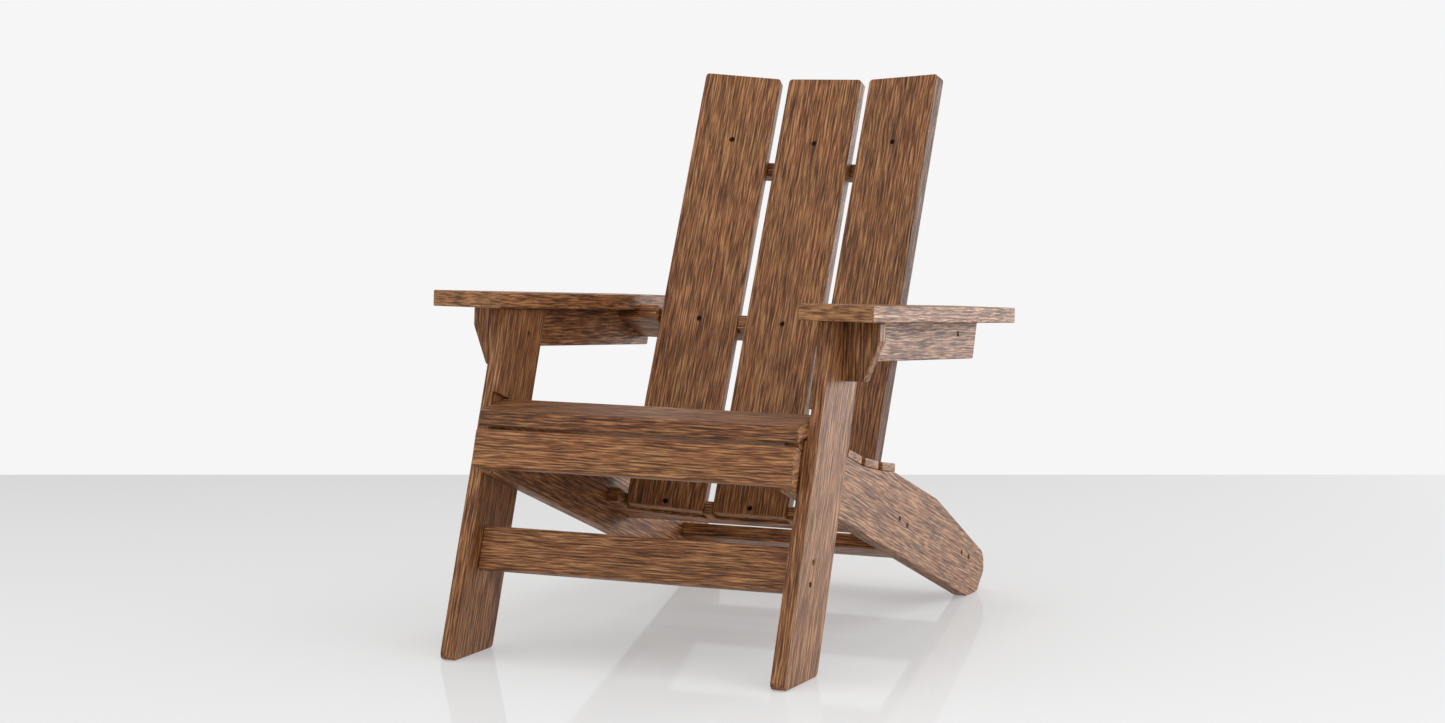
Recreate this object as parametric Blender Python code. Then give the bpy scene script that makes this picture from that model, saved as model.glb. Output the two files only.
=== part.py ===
"""An adirondack chair built from flat boards and screws.

Metres, +Z up. The sitter faces -Y, +X is to the right of someone who looks at the chair from the
front, and the origin is on the floor under the middle of the chair's bounding box.
"""

import math

import bmesh
import bpy
from mathutils import Matrix, Vector

# ---- driving dimensions -------------------------------------------------------------------------

HEIGHT = 0.930              # floor to the top of the middle back slat
DEPTH = 0.999               # sharp front corner of the feet to the rear end of the stringers
CENTRE_Y = 0.0024           # the rounded feet bring the bounding box's middle back by this much
BOARD = 0.0254              # thickness of every structural board
GAP = 0.0003                # clearance between pieces that touch
EDGE = 0.0020               # radius of the eased board edges
SAWN_EDGE = 0.0015                  # the same on boards that are cut to shape
SOFT_EDGE = 0.0040                  # and on the two front boards
SLAT_EDGE = 0.0022

STRINGER_IN = 0.2523        # inner face of a stringer
LEG_IN = STRINGER_IN + BOARD
RAIL_IN = LEG_IN + BOARD
RAIL_OUT = RAIL_IN + BOARD

RECLINE = math.radians(24.68)       # back slats from the vertical
BACK_Y = -0.0252                    # where the middle slat's front plane meets the floor
SLAT_W = 0.141
SLAT_FOOT = 0.198                   # distance of the slats' lower ends up that plane
OUTER_SLAT_IN = 0.0865              # inner front edge of an outer slat
OUTER_SLAT_TURN = math.radians(10.9)
SLAT_CORNER = 0.006

ARM_IN, ARM_OUT = 0.2632, 0.3905
ARM_T = 0.0265
ARM_FRONT = (-0.3508, 0.5887)       # y and z of the arm's upper front edge
ARM_SLOPE = math.radians(4.70)
ARM_LEN = 0.710
ARM_CORNER = 0.003
ARM_REAR_TAPER = 0.008
RAIL_H = 0.0640
RAIL_REAR = 0.3085                  # upper rear corner of a rail
RAIL_END_LEAN = math.radians(18.7)
CORBEL_Y = -0.3022                  # where the corbels' front plane meets the floor
CORBEL_TOP_W, CORBEL_FOOT_W = 0.0624, 0.0370
CORBEL_H, CORBEL_STRAIGHT = 0.0955, 0.0300

LEG_LEAN = math.radians(20.19)
LEG_DEPTH = 0.1378                  # along the floor
FOOT_CORNER = 0.010
HOUSING = 0.0060                    # depth of the notch in a leg that takes the seat's front board
HOUSING_LOW, HOUSING_TOP = 0.3740, 0.4238   # its ends, up the leg's front edge
HOUSING_REACH = 0.0510              # back from that edge

RAKE = math.radians(20.15)          # slope of the stringers
STRINGER_Z = 0.1500                 # height of the stringers' lower edge at y = 0
STRINGER_TAIL_CUT = (0.2473, 0.2000)    # where the top edge starts its steeper cut
TAIL_TOP_Z, TAIL_LOW_Z = 0.0655, 0.0320     # the rear edge is upright between these heights
TAIL_CORNER = 0.028
HEEL_REAR = 0.4640                  # the heel stands on the floor up to here

APRON_LOW = (-0.4237, 0.3099)       # lower front edge of the apron
APRON_H = 0.0630
APRON_LEAN = math.radians(17.8)
NOSE_TOP = (-0.3907, 0.3990)        # upper front edge of the front seat board
NOSE_DEPTH = 0.0830
NOSE_TILT = math.radians(6.8)
SEAT_SLAT_W, SEAT_SLAT_T = 0.0630, 0.0145
SEAT_START = (-0.2927, 0.3948)      # upper front edge of the second seat slat
SEAT_TILTS = (27.0, 22.5, 18.4, 12.7, 9.2)      # degrees down to the rear, front to back
SEAT_GAPS = (0.0060, 0.0060, 0.0149, 0.0154)    # between one slat and the next

STRETCHER_Z = 0.1410                # lower front edge
STRETCHER_H = 0.0710
STRETCHER_SETBACK = 0.0350          # behind the legs' front edges
REAR_BAR_CENTRE = (0.3823, 0.0836)
REAR_BAR_W = 0.1130
REAR_BAR_TILT = math.radians(17.0)
REAR_SCREWS = ((0.3792, 0.0845), (0.4164, 0.0700))

UPPER_S, ARM_BAR_S, LOWER_S = 0.8560, 0.5520, 0.2057   # crossbar centres up the back plane
SLAT_SCREW_S = (0.8970, 0.5508, 0.2100)
SIDE_SCREW = (0.5478, -0.0059)         # up the back plane and off it, through a rail into the bar
UPPER_REAR, ARM_BAR_REAR, LOWER_REAR = 0.0527, 0.0690, 0.0560      # rear edges behind it
UPPER_BAR_END = 0.1900
EAR_START = 0.2304                  # where the ears that reach forward beside the slats begin
ARM_BAR_EAR, LOWER_BAR_EAR = 0.0373, 0.0500
FINGER = -0.0015                    # front of the two lower bars' fingers, between the slats
LAND_W, LAND_H = 0.0900, 0.0560     # raised lands of the upper crossbar, behind each slat

HEAD_R, HEAD_T, SHANK_R = 0.0045, 0.0030, 0.0021
SINK = 0.0076                       # depth of a screw's counterbore
SHANK_LEN = 0.0400
ROUND_SIDES = 12

# where the side screws go in, as (y, z) of their faces
STRETCHER_SCREW_Z = (0.1513, 0.1847)
RAIL_SCREW = (-0.2262, 0.5093)
LEG_SCREWS = ((-0.3350, 0.3180), (-0.2850, 0.3330))
LOWER_BAR_SCREW_N = (-0.0034, -0.0436)      # off the back plane
ARM_SCREW_Y = 0.1000                # the arm's rear screw

# ---- scene and materials ------------------------------------------------------------------------


def clear_scene():
    for obj in list(bpy.data.objects):
        bpy.data.objects.remove(obj, do_unlink=True)


def material(name, color, roughness, metallic):
    mat = bpy.data.materials.new(name)
    mat.use_nodes = True
    shader = mat.node_tree.nodes["Principled BSDF"]
    shader.inputs["Base Color"].default_value = (*color, 1.0)
    shader.inputs["Roughness"].default_value = roughness
    shader.inputs["Metallic"].default_value = metallic
    mat.diffuse_color = (*color, 1.0)
    return mat


clear_scene()
WOOD = material("brown_wood", (0.235, 0.120, 0.064), 0.62, 0.0)
STEEL = material("screw_steel", (0.110, 0.095, 0.080), 0.42, 0.9)

# ---- geometry helpers ---------------------------------------------------------------------------


def frame(origin, along, up):
    """A matrix whose local X, Y and Z are along, up and their cross product."""
    along, up = Vector(along).normalized(), Vector(up).normalized()
    normal = along.cross(up)
    rows = Matrix((along, up, normal)).transposed()
    return Matrix.Translation(Vector(origin)) @ rows.to_4x4()


def side_frame(x):
    """Local X is the world's Y, local Y its Z, and local Z its X."""
    return frame((x, 0.0, 0.0), (0, 1, 0), (0, 0, 1))


def filleted(corners, steps=3):
    """The outline through (u, v, radius) corners, with each corner turned on an arc."""
    points = []
    count = len(corners)
    for i, (u, v, radius) in enumerate(corners):
        here = Vector((u, v))
        if radius <= 0.0:
            points.append(here)
            continue
        back = (Vector(corners[i - 1][:2]) - here).normalized()
        ahead = (Vector(corners[(i + 1) % count][:2]) - here).normalized()
        half = back.angle(ahead) / 2.0
        reach = radius / math.tan(half)
        centre = here + (back + ahead).normalized() * (radius / math.sin(half))
        start, end = here + back * reach - centre, here + ahead * reach - centre
        turn = start.angle_signed(end)
        for k in range(steps + 1):
            arm = start.copy()
            arm.rotate(Matrix.Rotation(-turn * k / steps, 2))
            points.append(centre + arm)
    return points


def outward(bm):
    bmesh.ops.recalc_face_normals(bm, faces=bm.faces)
    if bm.calc_volume(signed=True) < 0:
        bmesh.ops.reverse_faces(bm, faces=bm.faces)


def add_object(name, bm, matrix, mat):
    outward(bm)
    mesh = bpy.data.meshes.new(name)
    bm.to_mesh(mesh)
    bm.free()
    mesh.materials.append(mat)
    obj = bpy.data.objects.new(name, mesh)
    obj.matrix_world = matrix
    bpy.context.scene.collection.objects.link(obj)
    return obj


def prism(name, corners, thick, matrix, mat=WOOD, edge=EDGE, lift=0.0):
    """A board: an outline in the matrix's local XY plane, thick along its local Z from lift."""
    bm = bmesh.new()
    ring = [bm.verts.new((p.x, p.y, lift)) for p in filleted(corners)]
    base = bm.faces.new(ring)
    top = bmesh.ops.extrude_face_region(bm, geom=[base])["geom"]
    moved = [v for v in top if isinstance(v, bmesh.types.BMVert)]
    bmesh.ops.translate(bm, verts=moved, vec=(0, 0, thick))
    obj = add_object(name, bm, matrix, mat)
    if edge > 0.0:
        ease = obj.modifiers.new("eased_edges", "BEVEL")
        ease.width = edge
        ease.segments = 2
        ease.limit_method = "ANGLE"
        ease.angle_limit = math.radians(50)
        ease.use_clamp_overlap = True
    return obj


def box_corners(u0, u1, v0, v1, radius=0.0):
    return [(u0, v0, radius), (u1, v0, radius), (u1, v1, radius), (u0, v1, radius)]


def lathe(name, profile, matrix, mat):
    """A solid turned about the matrix's local Z from (radius, z) points, closed at both ends."""
    bm = bmesh.new()
    rings = []
    for radius, z in profile:
        turn = [2 * math.pi * k / ROUND_SIDES for k in range(ROUND_SIDES)]
        rings.append([bm.verts.new((radius * math.cos(a), radius * math.sin(a), z)) for a in turn])
    for low, high in zip(rings, rings[1:]):
        for k in range(ROUND_SIDES):
            n = (k + 1) % ROUND_SIDES
            bm.faces.new((low[k], low[n], high[n], high[k]))
    bm.faces.new(rings[0])
    bm.faces.new(rings[-1])
    return add_object(name, bm, matrix, mat)


def cut(obj, cutter):
    hole = obj.modifiers.new("cut_" + cutter.name, "BOOLEAN")
    hole.operation = "DIFFERENCE"
    hole.solver = "EXACT"
    hole.object = cutter
    cutter.hide_render = True
    cutter.display_type = "WIRE"


def join(obj, other):
    union = obj.modifiers.new("join_" + other.name, "BOOLEAN")
    union.operation = "UNION"
    union.solver = "EXACT"
    union.object = other
    other.hide_render = True
    other.display_type = "WIRE"


def screw(name, point, direction, *boards):
    """A sunk screw that enters at a point on a face, and its stepped hole through the boards."""
    direction = Vector(direction).normalized()
    matrix = Matrix.Translation(Vector(point)) @ direction.to_track_quat("Z", "Y").to_matrix().to_4x4()
    seat = SINK - GAP
    recess = HEAD_R * 0.42
    lathe(name, [
        (recess, seat - HEAD_T * 0.45),
        (recess, seat - HEAD_T),
        (HEAD_R * 0.86, seat - HEAD_T),
        (HEAD_R, seat - HEAD_T * 0.8),
        (HEAD_R, seat),
        (SHANK_R, seat),
        (SHANK_R, seat + SHANK_LEN - 0.004),
        (SHANK_R * 0.3, seat + SHANK_LEN),
    ], matrix, STEEL)
    bore = SHANK_R + GAP
    cutter = lathe(name + "_hole", [
        (HEAD_R + 2 * GAP, -0.010),
        (HEAD_R + 2 * GAP, SINK),
        (bore, SINK),
        (bore, seat + SHANK_LEN + 2 * GAP),
    ], matrix, WOOD)
    for board in boards:
        cut(board, cutter)


# ---- the back plane's own axes ------------------------------------------------------------------

UP_SLAT = Vector((0, math.sin(RECLINE), math.cos(RECLINE)))
OFF_SLAT = Vector((0, -math.cos(RECLINE), math.sin(RECLINE)))      # forward, out of the front face


def back_point(x, s, n):
    """A point at x, s up the back plane and n in front of it."""
    return Vector((x, BACK_Y, 0)) + UP_SLAT * s + OFF_SLAT * n


def outer_slat_point(side, across, s, n):
    """A point of an outer slat: across its width from the inner edge, s up, n off its front."""
    x = OUTER_SLAT_IN + across * math.cos(OUTER_SLAT_TURN) - n * math.sin(OUTER_SLAT_TURN)
    off = across * math.sin(OUTER_SLAT_TURN) + n * math.cos(OUTER_SLAT_TURN)
    return back_point(side * x, s, off)


SLAT_TOP = HEIGHT / math.cos(RECLINE)


def back_slats():
    corners = box_corners(-SLAT_W / 2, SLAT_W / 2, SLAT_FOOT, SLAT_TOP, SLAT_CORNER)
    slats = {"middle": prism("back_slat_middle", corners, BOARD,
                             frame(back_point(0, 0, -BOARD), (1, 0, 0), UP_SLAT))}
    for side, word in ((-1, "left"), (1, "right")):
        centre = outer_slat_point(side, SLAT_W / 2, 0, -BOARD)
        across = outer_slat_point(side, SLAT_W, 0, 0) - outer_slat_point(side, 0, 0, 0)
        slats[word] = prism("back_slat_" + word, corners, BOARD,
                            frame(centre, side * across, UP_SLAT))
    return slats


# ---- crossbars that hold the slats --------------------------------------------------------------


def facet_line(x):
    """Front edge of a crossbar: just behind the slats' backs, as a height off the back plane."""
    middle = -BOARD - GAP
    inner = outer_slat_point(1, 0, 0, -BOARD - GAP)
    inner_n = (inner - back_point(0, 0, 0)).dot(OFF_SLAT)
    outer = inner_n + (x - inner.x) * math.tan(OUTER_SLAT_TURN)
    return max(middle, outer)


def facet_knee():
    """The x where the middle facet meets the outer one."""
    inner = outer_slat_point(1, 0, 0, -BOARD - GAP)
    inner_n = (inner - back_point(0, 0, 0)).dot(OFF_SLAT)
    return inner.x + (-BOARD - GAP - inner_n) / math.tan(OUTER_SLAT_TURN)


def crossbar(name, s, end, rear, ear=None):
    """A board square to the slats, faceted behind them, with fingers and ears beside them."""
    knee, stop = facet_knee(), (end if ear is None else EAR_START)
    half = [(knee, facet_line(knee), 0.0), (stop, facet_line(stop), 0.0)]
    if ear is not None:
        inner, outer = SLAT_W / 2 + 2 * GAP, OUTER_SLAT_IN - 2 * GAP
        finger = [(inner, facet_line(inner), 0.0), (inner, FINGER, 0.0),
                  (outer, FINGER, 0.0), (outer, facet_line(outer), 0.0)]
        half = finger + half + [(stop, ear, 0.0), (end, ear, 0.0)]
    half.append((end, -rear, 0.0))
    corners = half + [(-u, v, r) for u, v, r in reversed(half)]
    return prism(name, corners, BOARD,
                 frame(back_point(0, s + BOARD / 2, 0), (1, 0, 0), OFF_SLAT), edge=SAWN_EDGE)


def upper_crossbar():
    bar = crossbar("upper_crossbar", UPPER_S, UPPER_BAR_END, UPPER_REAR)
    low = UPPER_S - BOARD / 2 + 0.004
    for side in (-1, 0, 1):
        name = "land_%d" % (side + 1)
        if side == 0:
            origin, across = back_point(0, 0, -BOARD - GAP), Vector((1, 0, 0))
        else:
            origin = outer_slat_point(side, SLAT_W / 2, 0, -BOARD - GAP)
            across = outer_slat_point(1, SLAT_W, 0, 0) - outer_slat_point(1, 0, 0, 0)
            across = Vector((across.x, side * across.y, side * across.z))
        matrix = frame(origin, across, UP_SLAT)
        land = prism(name, box_corners(-LAND_W / 2, LAND_W / 2, low, low + LAND_H, 0.006),
                     BOARD * 0.9, matrix, edge=0.0, lift=-BOARD * 0.9)
        join(bar, land)
    return bar


# ---- sides --------------------------------------------------------------------------------------


def arm_top(y):
    return ARM_FRONT[1] - math.tan(ARM_SLOPE) * (y - ARM_FRONT[0])


def arm_under(y):
    return arm_top(y) - ARM_T / math.cos(ARM_SLOPE)


def leg_front(z):
    return -DEPTH / 2 + math.tan(LEG_LEAN) * z


def meet_arm(y_at_floor, slope, drop=0.0):
    """Where a line that leaves the floor at a y meets the arm's underside, lowered by drop."""
    z = (arm_under(y_at_floor) - drop) / (1 + math.tan(ARM_SLOPE) * slope)
    return y_at_floor + slope * z, z


def front_leg(side, word):
    tan = math.tan(LEG_LEAN)
    front, rear = -DEPTH / 2, -DEPTH / 2 + LEG_DEPTH
    top_front, top_rear = meet_arm(front, tan, GAP), meet_arm(rear, tan, GAP)
    corners = [(front, 0.0, FOOT_CORNER), (rear, 0.0, FOOT_CORNER),
               (*top_rear, 0.0), (*top_front, 0.0)]
    x = LEG_IN + GAP if side > 0 else -RAIL_IN
    leg = prism("front_leg_" + word, corners, BOARD - GAP, side_frame(x))
    up = Vector((math.sin(LEG_LEAN), math.cos(LEG_LEAN)))
    back = Vector((up.y, -up.x))
    low, top = [Vector((leg_front(z), z)) for z in (HOUSING_LOW, HOUSING_TOP)]
    notch = [low - back * BOARD, low + back * HOUSING_REACH,
             top + back * HOUSING_REACH, top - back * BOARD]
    wide = BOARD + HOUSING + GAP
    x = LEG_IN - BOARD if side > 0 else -(LEG_IN + HOUSING + GAP)
    cut(leg, prism("seat_housing_" + word, with_radius(notch, 0.0), wide, side_frame(x), edge=0.0))
    return leg


def seat_profile():
    """Upper front and rear (y, z) edges of the thin seat slats, front to back, and their tilts."""
    y, z = SEAT_START
    rows = []
    for i, tilt in enumerate(SEAT_TILTS):
        a = math.radians(tilt)
        rear = (y + SEAT_SLAT_W * math.cos(a), z - SEAT_SLAT_W * math.sin(a))
        rows.append(((y, z), rear, a))
        if i < len(SEAT_GAPS):
            b = (a + math.radians(SEAT_TILTS[i + 1])) / 2
            y, z = rear[0] + SEAT_GAPS[i] * math.cos(b), rear[1] - SEAT_GAPS[i] * math.sin(b)
    return rows


def below(point, tilt, depth):
    """The point depth under a slat's top edge, square to a slat tilted down to the rear."""
    return (point[0] - depth * math.sin(tilt), point[1] - depth * math.cos(tilt))


def stringer(side, word):
    slope = math.tan(RAKE)
    nose_under = BOARD + GAP
    nose_front = (NOSE_TOP[0] + nose_under * math.sin(NOSE_TILT),
                  NOSE_TOP[1] - nose_under * math.cos(NOSE_TILT))
    apron_back = APRON_LOW[0] + (BOARD + GAP) / math.cos(APRON_LEAN)
    lean = math.tan(APRON_LEAN)
    low_z = (STRINGER_Z - slope * (apron_back - lean * APRON_LOW[1])) / (1 + slope * lean)
    low_y = apron_back + lean * (low_z - APRON_LOW[1])
    rise = math.tan(NOSE_TILT)
    high_z = nose_front[1] + rise * (apron_back - nose_front[0] + lean * (nose_front[1] - APRON_LOW[1]))
    high_y = apron_back + lean * (high_z - APRON_LOW[1])
    nose_rear_y = nose_front[0] + NOSE_DEPTH * math.cos(NOSE_TILT)
    corners = [(low_y, low_z, 0.006), (STRINGER_Z / slope, 0.0, FOOT_CORNER),
               (HEEL_REAR, 0.0, FOOT_CORNER), (DEPTH / 2, TAIL_LOW_Z, TAIL_CORNER / 2),
               (DEPTH / 2, TAIL_TOP_Z, TAIL_CORNER),
               (*STRINGER_TAIL_CUT, 0.04)]
    for front, rear, tilt in reversed(seat_profile()):
        corners.append((*below(rear, tilt, SEAT_SLAT_T + GAP), 0.0))
        corners.append((*below(front, tilt, SEAT_SLAT_T + GAP), 0.0))
    corners.append((nose_rear_y, high_z + rise * (nose_rear_y - high_y), 0.0))
    corners.append((high_y, high_z, 0.0))
    x = STRINGER_IN if side > 0 else -LEG_IN
    return prism("stringer_" + word, corners, BOARD, side_frame(x), edge=SAWN_EDGE)


def arm_frame(side):
    """Local X runs outwards, local Y down the arm to the rear, and the top face is at local 0."""
    back = Vector((0, math.cos(ARM_SLOPE), -math.sin(ARM_SLOPE)))
    return frame((0, *ARM_FRONT), (side, 0, 0), back)


def arm(side, word):
    corners = [(ARM_IN, 0.0, ARM_CORNER), (ARM_OUT, 0.0, ARM_CORNER),
               (ARM_OUT, ARM_LEN * 0.6, 0.05), (ARM_OUT - ARM_REAR_TAPER, ARM_LEN, ARM_CORNER),
               (ARM_IN, ARM_LEN, ARM_CORNER)]
    down = 0.0 if side < 0 else -ARM_T
    return prism("arm_" + word, corners, ARM_T, arm_frame(side), lift=down)


def arm_rail(side, word):
    slope = math.tan(ARM_SLOPE)
    drop = RAIL_H / math.cos(ARM_SLOPE)
    corbel_back = CORBEL_Y + (BOARD + GAP) / math.cos(ARM_SLOPE)
    front_top = meet_arm(corbel_back, slope, GAP)
    front_low = (front_top[0] - slope * drop, front_top[1] - drop)
    rear_top = (RAIL_REAR, arm_under(RAIL_REAR) - GAP)
    fall = drop / (1 + slope * math.tan(RAIL_END_LEAN))
    rear_low = (RAIL_REAR - fall * math.tan(RAIL_END_LEAN), rear_top[1] - fall)
    corners = [(*front_low, 0.0), (*rear_low, 0.004), (*rear_top, 0.0), (*front_top, 0.0)]
    x = RAIL_IN + GAP if side > 0 else -RAIL_OUT
    return prism("arm_rail_" + word, corners, BOARD - GAP, side_frame(x), edge=SAWN_EDGE)


def corbel(side, word):
    up = Vector((0, math.sin(ARM_SLOPE), math.cos(ARM_SLOPE)))
    y, z = meet_arm(CORBEL_Y, math.tan(ARM_SLOPE), GAP)
    inner = RAIL_IN + GAP
    corners = [(inner, 0.0, 0.0), (RAIL_IN + CORBEL_TOP_W, 0.0, 0.003),
               (RAIL_IN + CORBEL_TOP_W, -CORBEL_STRAIGHT, 0.012),
               (RAIL_IN + CORBEL_FOOT_W, -CORBEL_H, 0.004), (inner, -CORBEL_H, 0.0)]
    lift = -BOARD if side > 0 else 0.0
    return prism("corbel_" + word, corners, BOARD, frame((0, y, z), (side, 0, 0), up),
                 edge=SAWN_EDGE, lift=lift)


# ---- seat and front -----------------------------------------------------------------------------


def cross_board(name, half, section, edge=EDGE):
    """A board across the chair: a (y, z) section drawn out from -half to +half."""
    return prism(name, section, 2 * half, side_frame(-half), edge=edge)


def section_from(corner, angle, width, thick):
    """A rectangle from its lower front corner: width up a line leaning back, thick behind it."""
    up = Vector((math.sin(angle), math.cos(angle)))
    back = Vector((math.cos(angle), -math.sin(angle)))
    start = Vector(corner)
    return [start, start + back * thick, start + back * thick + up * width, start + up * width]


def with_radius(points, radius):
    return [(p[0], p[1], radius) for p in points]


def seat():
    """The thick front board, whose front edge leans like the apron, and five thin slats."""
    tilt = Vector((math.cos(NOSE_TILT), math.sin(NOSE_TILT)))
    down = Vector((tilt.y, -tilt.x))
    front = Vector(NOSE_TOP)
    lean = BOARD * math.tan(APRON_LEAN + NOSE_TILT)
    boards = [cross_board("seat_slat_1", LEG_IN + HOUSING, with_radius([
        front + down * BOARD - tilt * lean,
        front + down * BOARD + tilt * NOSE_DEPTH,
        front + tilt * NOSE_DEPTH,
        front,
    ], 0.0), edge=SOFT_EDGE)]
    for i, (start, end, a) in enumerate(seat_profile()):
        points = [below(start, a, SEAT_SLAT_T), below(end, a, SEAT_SLAT_T), end, start]
        boards.append(cross_board("seat_slat_%d" % (i + 2), LEG_IN - GAP,
                                  with_radius(points, 0.0), edge=SLAT_EDGE))
    return boards


def front_stretcher():
    corner = (leg_front(STRETCHER_Z) + STRETCHER_SETBACK, STRETCHER_Z)
    points = section_from(corner, LEG_LEAN, STRETCHER_H, BOARD)
    return cross_board("front_stretcher", LEG_IN - GAP, with_radius(points, 0.0))


def front_apron():
    points = section_from(APRON_LOW, APRON_LEAN, APRON_H, BOARD)
    return cross_board("front_apron", LEG_IN + HOUSING, with_radius(points, 0.0), edge=SOFT_EDGE)


def rear_crossbar():
    along = Vector((math.cos(REAR_BAR_TILT), -math.sin(REAR_BAR_TILT)))
    up = Vector((-along.y, along.x))
    centre = Vector(REAR_BAR_CENTRE)
    points = [centre + along * (a * REAR_BAR_W / 2) + up * (b * BOARD / 2)
              for a, b in ((-1, -1), (1, -1), (1, 1), (-1, 1))]
    return cross_board("rear_crossbar", STRINGER_IN - GAP, with_radius(points, 0.0), edge=SAWN_EDGE)


# ---- fasteners ----------------------------------------------------------------------------------


def slat_screws(slats, bars):
    for level, s in zip(("top", "mid", "low"), SLAT_SCREW_S):
        for word, slat in slats.items():
            side = {"left": -1, "middle": 0, "right": 1}[word]
            if side == 0:
                point, off = back_point(0, s, 0), OFF_SLAT
            else:
                point = outer_slat_point(side, SLAT_W / 2, s, 0)
                off = outer_slat_point(side, SLAT_W / 2, s, 1) - point
            screw("slat_screw_%s_%s" % (level, word), point, -off, slat, bars[level])


def side_screws(side, word, pieces):
    """Screws that go in sideways: (name, y, z, x of the face, inwards or outwards, boards)."""
    bar = [back_point(0, SLAT_SCREW_S[2], n) for n in LOWER_BAR_SCREW_N]
    rail = back_point(0, *SIDE_SCREW)
    mid = STRETCHER_SETBACK + BOARD * 0.6 / math.cos(LEG_LEAN)
    rows = [
        ("stretcher", [(leg_front(z) + mid, z) for z in STRETCHER_SCREW_Z], RAIL_IN, -1,
         ("leg", "stretcher")),
        ("lower_bar", [(p.y, p.z) for p in bar], LEG_IN, -1, ("stringer", "lower_bar")),
        ("rear_bar", REAR_SCREWS, LEG_IN, -1, ("stringer", "rear_bar")),
        ("arm_bar", [(rail.y, rail.z)], RAIL_OUT, -1, ("rail", "arm_bar")),
        ("rail", [RAIL_SCREW], LEG_IN, 1, ("leg", "rail")),
        ("leg", LEG_SCREWS, STRINGER_IN, 1, ("stringer", "leg")),
    ]
    for what, places, x, way, boards in rows:
        for i, (y, z) in enumerate(places):
            screw("%s_screw_%s_%d" % (what, word, i + 1), (side * x, y, z), (side * way, 0, 0),
                  *[pieces[b] for b in boards])


def arm_screws(side, word, pieces):
    down = Vector((0, -math.sin(ARM_SLOPE), -math.cos(ARM_SLOPE)))
    leg_y = leg_front(0.55) + LEG_DEPTH / 2
    for i, (x, y, under) in enumerate(((LEG_IN + BOARD / 2, leg_y, "leg"),
                                       (RAIL_IN + BOARD / 2, ARM_SCREW_Y, "rail"))):
        screw("arm_screw_%s_%d" % (word, i + 1), (side * x, y, arm_top(y)), down,
              pieces["arm"], pieces[under])


def ear_housing(side, pieces):
    """The pocket in the arm's underside that takes the crossbar's raised ear."""
    slack = 2 * GAP
    inner, outer = EAR_START - slack, RAIL_IN + slack
    u0, u1 = sorted((side * inner, side * outer))
    corners = box_corners(u0, u1, -ARM_BAR_REAR - slack, ARM_BAR_EAR + slack)
    top = back_point(0, ARM_BAR_S + BOARD / 2 + slack, 0)
    pocket = prism("ear_housing_%d" % (side + 1), corners, BOARD + 2 * slack,
                   frame(top, (1, 0, 0), OFF_SLAT), edge=0.0)
    cut(pieces["arm"], pocket)


def build():
    slats = back_slats()
    bars = {
        "top": upper_crossbar(),
        "mid": crossbar("arm_crossbar", ARM_BAR_S, RAIL_IN, ARM_BAR_REAR, ARM_BAR_EAR),
        "low": crossbar("lower_crossbar", LOWER_S, STRINGER_IN - GAP, LOWER_REAR, LOWER_BAR_EAR),
    }
    shared = {"stretcher": front_stretcher(), "rear_bar": rear_crossbar(),
              "lower_bar": bars["low"], "arm_bar": bars["mid"]}
    front_apron()
    seat()
    slat_screws(slats, bars)
    for side, word in ((-1, "left"), (1, "right")):
        pieces = dict(shared, leg=front_leg(side, word), stringer=stringer(side, word),
                      arm=arm(side, word), rail=arm_rail(side, word), corbel=corbel(side, word))
        ear_housing(side, pieces)
        side_screws(side, word, pieces)
        arm_screws(side, word, pieces)
    for obj in bpy.context.scene.objects:
        obj.location.y -= CENTRE_Y


build()
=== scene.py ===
"""The looks of the adirondack chair: oiled brown boards with a streaky grain, and dark screws."""

import math

import bmesh
import bpy
from mathutils import Matrix, Vector


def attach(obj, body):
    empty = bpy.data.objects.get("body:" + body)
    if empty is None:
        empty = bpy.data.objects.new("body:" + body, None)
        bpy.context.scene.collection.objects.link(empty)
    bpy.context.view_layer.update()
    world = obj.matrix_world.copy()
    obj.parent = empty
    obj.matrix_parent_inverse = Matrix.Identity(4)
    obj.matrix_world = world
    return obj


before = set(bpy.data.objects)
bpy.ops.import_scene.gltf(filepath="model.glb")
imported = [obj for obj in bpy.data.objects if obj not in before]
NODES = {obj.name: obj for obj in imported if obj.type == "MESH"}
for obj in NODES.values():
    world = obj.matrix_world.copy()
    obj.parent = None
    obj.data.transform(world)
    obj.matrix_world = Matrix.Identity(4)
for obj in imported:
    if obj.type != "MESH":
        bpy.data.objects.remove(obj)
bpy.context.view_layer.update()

# ---- the boards' directions ---------------------------------------------------------------------

RECLINE = math.radians(24.68)
ARM_SLOPE = math.radians(4.70)
LEG_LEAN = math.radians(20.19)
RAKE = math.radians(20.15)

ACROSS = Vector((1, 0, 0))
UP_SLAT = Vector((0, math.sin(RECLINE), math.cos(RECLINE)))
DOWN_ARM = Vector((0, math.cos(ARM_SLOPE), -math.sin(ARM_SLOPE)))
UP_LEG = Vector((0, math.sin(LEG_LEAN), math.cos(LEG_LEAN)))
DOWN_STRINGER = Vector((0, math.cos(RAKE), -math.sin(RAKE)))
UP_CORBEL = Vector((0, math.sin(ARM_SLOPE), math.cos(ARM_SLOPE)))

# ---- the view -----------------------------------------------------------------------------------

AZIMUTH = math.radians(24.15)
PITCH = math.radians(5.861)
CAMERA_AT = Vector((2.1168, -4.7760, 0.9889))
LENS_MM, SENSOR_MM = 76.46, 36.0
VIEW_REACH = 100.0                  # the farthest the camera sees, in metres


def camera():
    data = bpy.data.cameras.new("view")
    data.lens = LENS_MM
    data.sensor_width = SENSOR_MM
    data.sensor_fit = "HORIZONTAL"
    data.clip_end = VIEW_REACH
    cam = bpy.data.objects.new("view", data)
    cam.location = CAMERA_AT
    cam.rotation_euler = (math.pi / 2 - PITCH, 0.0, AZIMUTH)
    bpy.context.scene.collection.objects.link(cam)
    bpy.context.scene.camera = cam


# ---- node helpers -------------------------------------------------------------------------------

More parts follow.
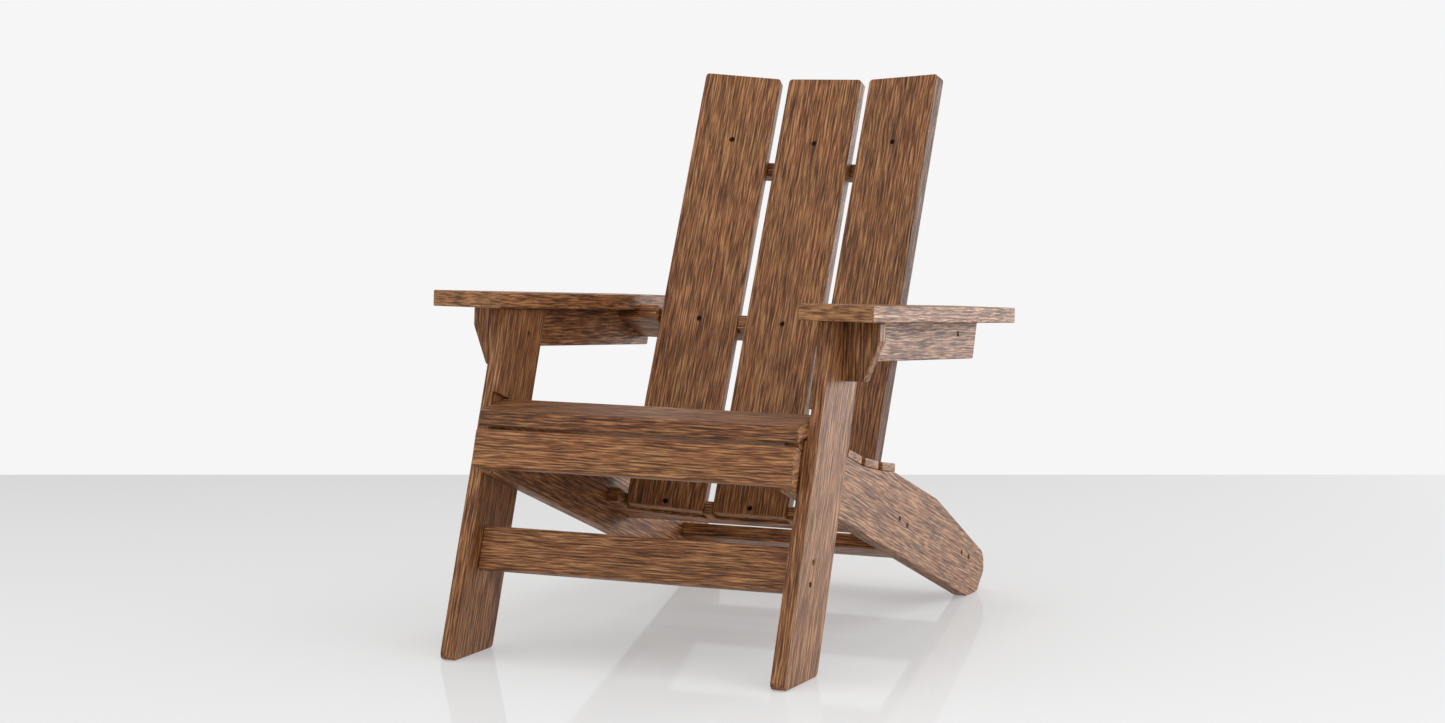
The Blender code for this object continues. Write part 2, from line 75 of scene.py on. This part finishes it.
class Tree:
    """Adds nodes to a node tree, and joins sockets as it goes."""

    def __init__(self, tree):
        self.tree = tree

    def put(self, kind, inputs=None, **settings):
        node = self.tree.nodes.new(kind)
        for key, value in settings.items():
            setattr(node, key, value)
        for key, value in (inputs or {}).items():
            if isinstance(value, bpy.types.NodeSocket):
                self.tree.links.new(value, node.inputs[key])
            else:
                node.inputs[key].default_value = value
        return node

    def math(self, operation, a, b=0.0, clamp=False):
        return self.put("ShaderNodeMath", {0: a, 1: b}, operation=operation,
                        use_clamp=clamp).outputs[0]

    def weighted(self, layers, shares):
        """The sum of the layers that have a share, each times its share."""
        total = None
        for name, share in shares.items():
            part = self.math("MULTIPLY", layers[name], share)
            total = part if total is None else self.math("ADD", total, part)
        return total

    def scaled(self, vector, scale):
        return self.put("ShaderNodeVectorMath", {0: vector, 1: scale},
                        operation="MULTIPLY").outputs[0]

    def noise(self, vector, scale, detail=2.0, roughness=0.5, distortion=0.0):
        return self.put("ShaderNodeTexNoise", {
            "Vector": self.scaled(vector, scale), "Scale": 1.0, "Detail": detail,
            "Roughness": roughness, "Distortion": distortion}).outputs["Fac"]

    def grain(self, vector, cells, detail=2.0, roughness=0.5, distortion=0.0):
        """Noise drawn out along X, from its cells per metre along and across the grain."""
        along, across = cells
        return self.noise(vector, (along, across, across), detail, roughness, distortion)

    def ramp(self, value, low, high, to_low=0.0, to_high=1.0):
        return self.put("ShaderNodeMapRange", {
            "Value": value, "From Min": low, "From Max": high,
            "To Min": to_low, "To Max": to_high}).outputs["Result"]

    def mix(self, factor, a, b):
        node = self.put("ShaderNodeMix", {0: factor}, data_type="RGBA")
        for socket, value in ((node.inputs[6], a), (node.inputs[7], b)):
            if isinstance(value, bpy.types.NodeSocket):
                self.tree.links.new(value, socket)
            else:
                socket.default_value = (*value, 1.0)
        return node.outputs[2]


# ---- wood ---------------------------------------------------------------------------------------

DARK_BROWN = (0.056, 0.021, 0.008)
MID_BROWN = (0.220, 0.087, 0.029)
MID_RED = (0.234, 0.082, 0.027)
LIGHT_BROWN = (0.480, 0.232, 0.092)
END_DARK = (0.110, 0.042, 0.016)

# Noise cells per metre, along and across the grain.
WANDER_CELLS = (2.6, 10.0)      # how the grain drifts sideways
FINE_CELLS = (21.0, 430.0)
STREAK_CELLS = (10.0, 260.0)
BAND_CELLS = (4.0, 60.0)
DRIFT_CELLS = (14.0, 75.0)      # where the ridges break their rhythm
CLOUD_CELLS = (2.4, 11.0)
SWELL_CELLS = (1.5, 8.5)        # its contours are the growth rings
PORE_CELLS = (34.0, 460.0)
SPLIT_CELLS = (9.0, 340.0)
HUE_CELLS = (7.0, 26.0)
END_CELLS = (1.0, 42.0, 330.0)  # the rings seen on an end, along, across and through the board

NOISE_MIDDLE = (0.5, 0.5, 0.5)
WANDER_REACH = 0.008            # twice the farthest the grain drifts, in metres
FINE_ROUGH, STREAK_ROUGH, SWELL_TWIST = 0.60, 0.55, 0.35
RIDGE_PITCH = 0.0060            # from one raised line of the brushed grain to the next
RIDGE_DRIFT = 17.0              # radians
RINGS_PER_SWELL = 21.0
PORE_RANGE, SPLIT_RANGE = (0.40, 0.33), (0.37, 0.32)    # noise that begins one and fills it
HUE_RANGE, END_RANGE = (0.42, 0.60), (0.38, 0.64)
TONE_RANGE = (1.26, 2.12)       # the summed layers' darkest and lightest wood
PORE_DARK, SPLIT_DARK, END_SHARE = 0.40, 0.60, 0.85
DARK_ROUGH, LIGHT_ROUGH = 0.56, 0.40

# How much each layer adds to the wood's tone, and to the height of its bump.
TONE_SHARES = {
    "fine": 2.10, "streak": 0.80, "band": 0.20, "ridge": 0.155, "cloud": 0.12, "rings": 0.26}
HEIGHT_SHARES = {"streak": 0.6, "pores": -0.35, "fine": 0.45, "split": -0.6}


def wood_group():
    """Colour, roughness and height from a board's own coordinates, X along its grain."""
    group = bpy.data.node_groups.new("wood_grain", "ShaderNodeTree")
    face = group.interface
    face.new_socket("Board", in_out="INPUT", socket_type="NodeSocketVector")
    face.new_socket("End", in_out="INPUT", socket_type="NodeSocketFloat")
    face.new_socket("Tone", in_out="INPUT", socket_type="NodeSocketFloat")
    for name, kind in (("Color", "NodeSocketColor"), ("Roughness", "NodeSocketFloat"),
                       ("Height", "NodeSocketFloat")):
        face.new_socket(name, in_out="OUTPUT", socket_type=kind)
    t = Tree(group)
    given = t.put("NodeGroupInput").outputs
    board = given["Board"]

    along, across = WANDER_CELLS
    wander = t.put("ShaderNodeTexNoise", {
        "Vector": t.scaled(board, (along, across, across)), "Scale": 1.0, "Detail": 2.0})
    offset = t.put("ShaderNodeVectorMath", {0: wander.outputs["Color"], 1: NOISE_MIDDLE},
                   operation="SUBTRACT").outputs[0]
    reach = t.scaled(offset, (0.0, WANDER_REACH, WANDER_REACH))
    warped = t.put("ShaderNodeVectorMath", {0: board, 1: reach}, operation="ADD").outputs[0]

    layers = {
        "fine": t.grain(warped, FINE_CELLS, roughness=FINE_ROUGH),
        "streak": t.grain(warped, STREAK_CELLS, roughness=STREAK_ROUGH),
        "band": t.grain(warped, BAND_CELLS),
        "cloud": t.grain(board, CLOUD_CELLS),
        "pores": t.ramp(t.grain(warped, PORE_CELLS, detail=1.0), *PORE_RANGE),
        "split": t.ramp(t.grain(warped, SPLIT_CELLS), *SPLIT_RANGE)}
    parts = t.put("ShaderNodeSeparateXYZ", {0: board}).outputs
    phase = t.math("MULTIPLY", t.math("ADD", parts["Y"], parts["Z"]), 2 * math.pi / RIDGE_PITCH)
    drift = t.math("MULTIPLY", t.grain(board, DRIFT_CELLS), RIDGE_DRIFT)
    layers["ridge"] = t.math("SINE", t.math("ADD", phase, drift))
    swell = t.grain(board, SWELL_CELLS, detail=1.0, distortion=SWELL_TWIST)
    cycle = t.math("FRACT", t.math("MULTIPLY", swell, RINGS_PER_SWELL))
    layers["rings"] = t.math("ABSOLUTE", t.math("SUBTRACT", cycle, 0.5))

    total = t.ramp(t.weighted(layers, TONE_SHARES), *TONE_RANGE)
    # The given tone adds the board's own tone and any painted shade on the board or its sides.
    tone = t.math("ADD", total, given["Tone"], clamp=True)

    hue = t.ramp(t.grain(board, HUE_CELLS), *HUE_RANGE)
    middle = t.mix(hue, MID_BROWN, MID_RED)
    low = t.mix(t.ramp(tone, 0.0, 0.5), DARK_BROWN, middle)
    color = t.mix(t.ramp(tone, 0.5, 1.0), low, LIGHT_BROWN)
    color = t.mix(t.math("MULTIPLY", layers["pores"], PORE_DARK), color, DARK_BROWN)
    color = t.mix(t.math("MULTIPLY", layers["split"], SPLIT_DARK), color, DARK_BROWN)
    growth = t.noise(board, END_CELLS, detail=3.0)
    end_color = t.mix(t.ramp(growth, *END_RANGE), END_DARK, LIGHT_BROWN)
    color = t.mix(t.math("MULTIPLY", given["End"], END_SHARE), color, end_color)

    height = t.weighted(layers, HEIGHT_SHARES)
    rough = t.ramp(tone, 0.0, 1.0, DARK_ROUGH, LIGHT_ROUGH)
    t.put("NodeGroupOutput", {"Color": color, "Roughness": rough, "Height": height})
    return group


WOOD_GROUP = wood_group()

SEED_STEPS = (1.37, 0.53, 0.71)             # how far apart two boards' wood is cut, in metres
END_FACING, SIDE_SHADE_FACING = (0.75, 0.95), (0.70, 0.95)    # cosines where an end begins, and where a side begins that takes painted shade
WOOD_IOR, BUMP_STRENGTH, BUMP_DEPTH = 1.38, 0.45, 0.0009
NEAR_UPRIGHT = 0.1      # sine of the angle from the vertical where a board counts as upright


def wood(name, along, seed, tone=0.0, side_shade=0.0):
    """One board's material, its grain along a direction. The seed picks its stretch of wood."""
    along = along.normalized()
    side = Vector((0, 0, 1)).cross(along)
    side = side.normalized() if side.length > NEAR_UPRIGHT else Vector((1, 0, 0))
    rows = Matrix((along, side, along.cross(side)))
    mat = bpy.data.materials.new(name)
    mat.use_nodes = True
    t = Tree(mat.node_tree)
    mat.node_tree.nodes.clear()
    place = t.put("ShaderNodeTexCoord").outputs
    board = t.put("ShaderNodeMapping", {
        "Vector": place["Object"], "Rotation": rows.to_euler("XYZ"),
        "Location": tuple(seed * step for step in SEED_STEPS)}, vector_type="POINT").outputs[0]
    facing = t.put("ShaderNodeVectorMath", {0: place["Normal"], 1: tuple(along)},
                   operation="DOT_PRODUCT").outputs["Value"]
    end = t.ramp(t.math("ABSOLUTE", facing), *END_FACING)
    turned = t.put("ShaderNodeSeparateXYZ", {0: place["Normal"]}).outputs["X"]
    # Painted shade: the sides facing along X are darkened so that they look in shadow.
    side_shade_mask = t.math("MULTIPLY", t.ramp(t.math("ABSOLUTE", turned), *SIDE_SHADE_FACING), side_shade)
    grain = t.put("ShaderNodeGroup", node_tree=WOOD_GROUP)
    t.tree.links.new(board, grain.inputs["Board"])
    t.tree.links.new(end, grain.inputs["End"])
    t.tree.links.new(t.math("ADD", side_shade_mask, tone), grain.inputs["Tone"])
    bump = t.put("ShaderNodeBump", {
        "Height": grain.outputs["Height"], "Strength": BUMP_STRENGTH, "Distance": BUMP_DEPTH})
    shader = t.put("ShaderNodeBsdfPrincipled", {
        "Base Color": grain.outputs["Color"], "Roughness": grain.outputs["Roughness"],
        "Normal": bump.outputs["Normal"], "IOR": WOOD_IOR})
    t.put("ShaderNodeOutputMaterial", {"Surface": shader.outputs["BSDF"]})
    return mat


# Boards that are a little lighter or darker than the rest, and boards and sides of boards darkened
# as painted shade.
# back_slat_right and front_apron: the wood's own tone; seat_slat_1: painted shade, darker so that
# its upward face looks less lit.
BOARD_TONES_AND_SHADE = {"back_slat_right": -0.03, "front_apron": 0.04, "seat_slat_1": -0.17}
# Painted shade: the sides of back_slat_right are darkened as if in shadow.
SIDE_SHADE = {"back_slat_right": -0.35}


def grain_direction(name):
    """Every board's grain runs along its length."""
    rules = (("back_slat", UP_SLAT), ("front_leg", UP_LEG), ("stringer", DOWN_STRINGER),
             ("arm_crossbar", ACROSS), ("arm_", DOWN_ARM), ("corbel", UP_CORBEL))
    for start, direction in rules:
        if name.startswith(start):
            return direction
    return ACROSS


# Near-black steel: partly the screws' own finish, partly painted shade of the counterbored holes,
# where the heads sit flush.
STEEL_DARK_AND_HOLE_SHADE, STEEL_WORN = (0.010, 0.007, 0.005), (0.040, 0.030, 0.022)
STEEL_CELLS, STEEL_METALLIC = 900.0, 0.6
WORN_RANGE = (0.35, 0.70)               # noise where the coating begins to wear, and is worn
ROUGH_RANGE = (0.30, 0.70, 0.45, 0.65)  # noise from and to, roughness from and to


def steel():
    """The screws' near-black coating, a little worn: partly their own dark finish, partly painted
    shade of the deep holes they sit in.
    """
    mat = bpy.data.materials.new("screw_steel_dark_and_hole_shade")
    mat.use_nodes = True
    t = Tree(mat.node_tree)
    shader = mat.node_tree.nodes["Principled BSDF"]
    place = t.put("ShaderNodeTexCoord").outputs["Object"]
    worn = t.noise(place, (STEEL_CELLS,) * 3)
    t.tree.links.new(t.mix(t.ramp(worn, *WORN_RANGE), STEEL_DARK_AND_HOLE_SHADE, STEEL_WORN),
                     shader.inputs["Base Color"])
    t.tree.links.new(t.ramp(worn, *ROUGH_RANGE), shader.inputs["Roughness"])
    shader.inputs["Metallic"].default_value = STEEL_METALLIC
    return mat


WELD_WITHIN = 0.00002                   # metres


def weld_edges(obj):
    """Joins the faces' vertices, so that the eased edges shade as one surface."""
    obj.data.materials.clear()
    weld = obj.modifiers.new("weld", "WELD")
    weld.merge_threshold = WELD_WITHIN


def dress(metal):
    for i, name in enumerate(sorted(NODES)):
        obj = NODES[name]
        weld_edges(obj)
        if "screw" in name:
            obj.data.materials.append(metal)
        else:
            obj.data.materials.append(wood("wood_" + name, grain_direction(name), i + 1,
                                           BOARD_TONES_AND_SHADE.get(name, 0.0), SIDE_SHADE.get(name, 0.0)))


# ---- the thin seat slats' screws ----------------------------------------------------------------

STRINGER_MID = 0.2650                # where the seat slats cross the stringers
THIN_SLATS = ("seat_slat_2", "seat_slat_3", "seat_slat_4", "seat_slat_5", "seat_slat_6")
HEAD_R, HEAD_PROUD, HEAD_DEEP = 0.0042, 0.0003, 0.0022
DRIVE_HALF, DRIVE_DEEP = 0.0014, 0.0016
HEAD_SIDES = 16
# The head's outline: its share of the radius, and its height over the board's face.
HEAD_PROFILE = ((0.45, -HEAD_DEEP), (1.0, 0.0), (0.93, HEAD_PROUD), (0.55, HEAD_PROUD))
UPWARD, FLUSH = 0.8, 0.9999         # cosines of an upper face, and of faces in one plane


def upper_face(obj):
    """The middle and the normal of a board's broad upper face."""
    faces = [p for p in obj.data.polygons if p.normal.z > UPWARD]
    broad = max(faces, key=lambda p: p.area)
    flush = [p for p in faces if p.normal.dot(broad.normal) > FLUSH]
    area = sum(p.area for p in flush)
    middle = sum((p.center * p.area for p in flush), Vector()) / area
    return middle, broad.normal.copy()


def screw_head(name, matrix, mat):
    """A countersunk head with an eased rim and a square drive socket."""
    bm = bmesh.new()
    turn = [2 * math.pi * (k + 0.5) / HEAD_SIDES for k in range(HEAD_SIDES)]
    square = [DRIVE_HALF / max(abs(math.cos(a)), abs(math.sin(a))) for a in turn]
    profile = [([HEAD_R * share] * HEAD_SIDES, z) for share, z in HEAD_PROFILE]
    profile += [(square, HEAD_PROUD), (square, HEAD_PROUD - DRIVE_DEEP)]
    rings = [[bm.verts.new((r * math.cos(a), r * math.sin(a), z)) for r, a in zip(reach, turn)]
             for reach, z in profile]
    for low, high in zip(rings, rings[1:]):
        for k in range(HEAD_SIDES):
            n = (k + 1) % HEAD_SIDES
            bm.faces.new((low[k], low[n], high[n], high[k]))
    bm.faces.new(rings[0])
    bm.faces.new(rings[-1])
    bmesh.ops.recalc_face_normals(bm, faces=bm.faces)
    mesh = bpy.data.meshes.new(name)
    bm.to_mesh(mesh)
    bm.free()
    mesh.materials.append(mat)
    head = bpy.data.objects.new(name, mesh)
    head.matrix_world = matrix
    bpy.context.scene.collection.objects.link(head)
    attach(head, "root")


def seat_screws(metal):
    for slat in THIN_SLATS:
        middle, normal = upper_face(NODES[slat])
        tilt = normal.to_track_quat("Z", "Y").to_matrix().to_4x4()
        for side, word in ((-1, "left"), (1, "right")):
            at = Vector((side * STRINGER_MID, middle.y, middle.z))
            screw_head("%s_screw_%s" % (slat, word), Matrix.Translation(at) @ tilt, metal)


# ---- stage and light ----------------------------------------------------------------------------

FLOOR_BEHIND = 1.84                 # from the chair's middle to the floor's far edge
FLOOR_AHEAD, FLOOR_HALF = 9.0, 9.0
FLOOR_DROP = 0.0005                 # under the feet
FLOOR_BASE, FLOOR_ROUGH, FLOOR_IOR = 0.43, 0.06, 1.06
GLOW_NEAR, GLOW_FAR = 0.41, 0.145   # emission at the front and at the far edge
GLOW_FROM = -1.4                    # where it starts to fade


def stage_material(name):
    """A pale satin floor that glows softly, a little brighter towards the front."""
    mat = bpy.data.materials.new(name)
    mat.use_nodes = True
    t = Tree(mat.node_tree)
    shader = mat.node_tree.nodes["Principled BSDF"]
    place = t.put("ShaderNodeTexCoord").outputs["Object"]
    along = t.put("ShaderNodeSeparateXYZ", {0: place}).outputs["Y"]
    shader.inputs["Base Color"].default_value = (FLOOR_BASE, FLOOR_BASE, FLOOR_BASE, 1.0)
    shader.inputs["Emission Color"].default_value = (1.0, 1.0, 1.0, 1.0)
    t.tree.links.new(t.ramp(along, GLOW_FROM, FLOOR_BEHIND, GLOW_NEAR, GLOW_FAR),
                     shader.inputs["Emission Strength"])
    shader.inputs["Roughness"].default_value = FLOOR_ROUGH
    shader.inputs["IOR"].default_value = FLOOR_IOR
    return mat


def stage():
    mesh = bpy.data.meshes.new("floor")
    corners = [(-FLOOR_HALF, -FLOOR_AHEAD), (FLOOR_HALF, -FLOOR_AHEAD),
               (FLOOR_HALF, FLOOR_BEHIND), (-FLOOR_HALF, FLOOR_BEHIND)]
    mesh.from_pydata([(x, y, -FLOOR_DROP) for x, y in corners], [], [(0, 1, 2, 3)])
    floor = bpy.data.objects.new("floor", mesh)
    floor.rotation_euler.z = AZIMUTH
    bpy.context.scene.collection.objects.link(floor)
    mesh.materials.append(stage_material("floor_paint"))


BACKDROP_STRENGTH = 0.922
SOFTBOXES = (       # name, place, what it points at, width and height, watts
    ("rear_softbox", (2.2, 3.5, 0.8), (0, 0, 0.2), (2.0, 1.4), 62.0),
    ("right_softbox", (4.2, -0.6, 1.7), (0, 0, 0.4), (2.5, 2.5), 22.0),
    ("overhead", (0.0, 0.1, 5.0), (0, 0, 0), (0.8, 0.8), 26.0),
)


def area_light(name, at, aim, size, power):
    data = bpy.data.lights.new(name, "AREA")
    data.shape = "RECTANGLE"
    data.size, data.size_y = size
    data.energy = power
    light = bpy.data.objects.new(name, data)
    light.location = at
    light.rotation_euler = (Vector(aim) - Vector(at)).to_track_quat("-Z", "Y").to_euler()
    bpy.context.scene.collection.objects.link(light)


def light():
    scene = bpy.context.scene
    scene.view_settings.view_transform = "Standard"
    world = bpy.data.worlds.new("studio")
    scene.world = world
    world.use_nodes = True
    backdrop = world.node_tree.nodes["Background"]
    backdrop.inputs["Color"].default_value = (1.0, 1.0, 1.0, 1.0)
    backdrop.inputs["Strength"].default_value = BACKDROP_STRENGTH
    for softbox in SOFTBOXES:
        area_light(*softbox)


camera()
STEEL = steel()
dress(STEEL)
seat_screws(STEEL)
stage()
light()
